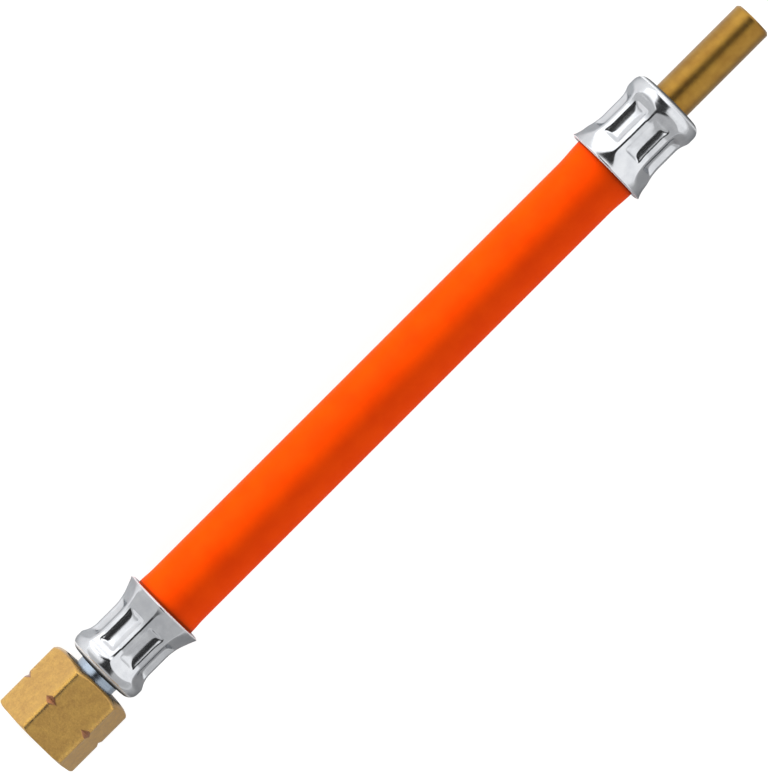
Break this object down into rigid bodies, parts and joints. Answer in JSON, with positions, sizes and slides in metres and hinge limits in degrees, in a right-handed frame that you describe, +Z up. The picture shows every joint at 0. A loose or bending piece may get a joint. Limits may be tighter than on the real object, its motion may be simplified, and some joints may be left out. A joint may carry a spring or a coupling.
{
  "type": "flexible gas hose",
  "caption": "Flexible orange rubber gas hose with fluted crimped ferrules, a swivelling brass union nut at one end and a plain brass stub pipe at the other.",
  "frame": {"origin": "on the surface that the hose lies on, under the middle of its length", "axes": "+X along the hose's axis from the union nut to the stub pipe, +Z up"},
  "size_m": [0.1896, 0.0196, 0.0171],
  "materials": {
    "blasted_brass": "grit-blasted, matte",
    "plated_nipple": "turned, bluish zinc plating",
    "plated_ferrule": "deep-drawn and crimped sheet steel, bright zinc plating",
    "hose_rubber": "smooth, satin, extruded",
    "turned_brass": "satin, turned"
  },
  "bodies": {
    "hose_line": {"swivel_nipple": "plated_nipple", "ferrule_nut_end": "plated_ferrule", "hose": "hose_rubber", "ferrule_stub_end": "plated_ferrule", "stub_pipe": "turned_brass"},
    "nut": {"union_nut": "blasted_brass"}
  },
  "joints": [
    {"name": "nut_swivel", "type": "hinge", "parent": "hose_line", "child": "nut", "pos_m": [-0.08, 0, 0.00855], "axis": [1, 0, 0], "continuous": true}
  ]
}
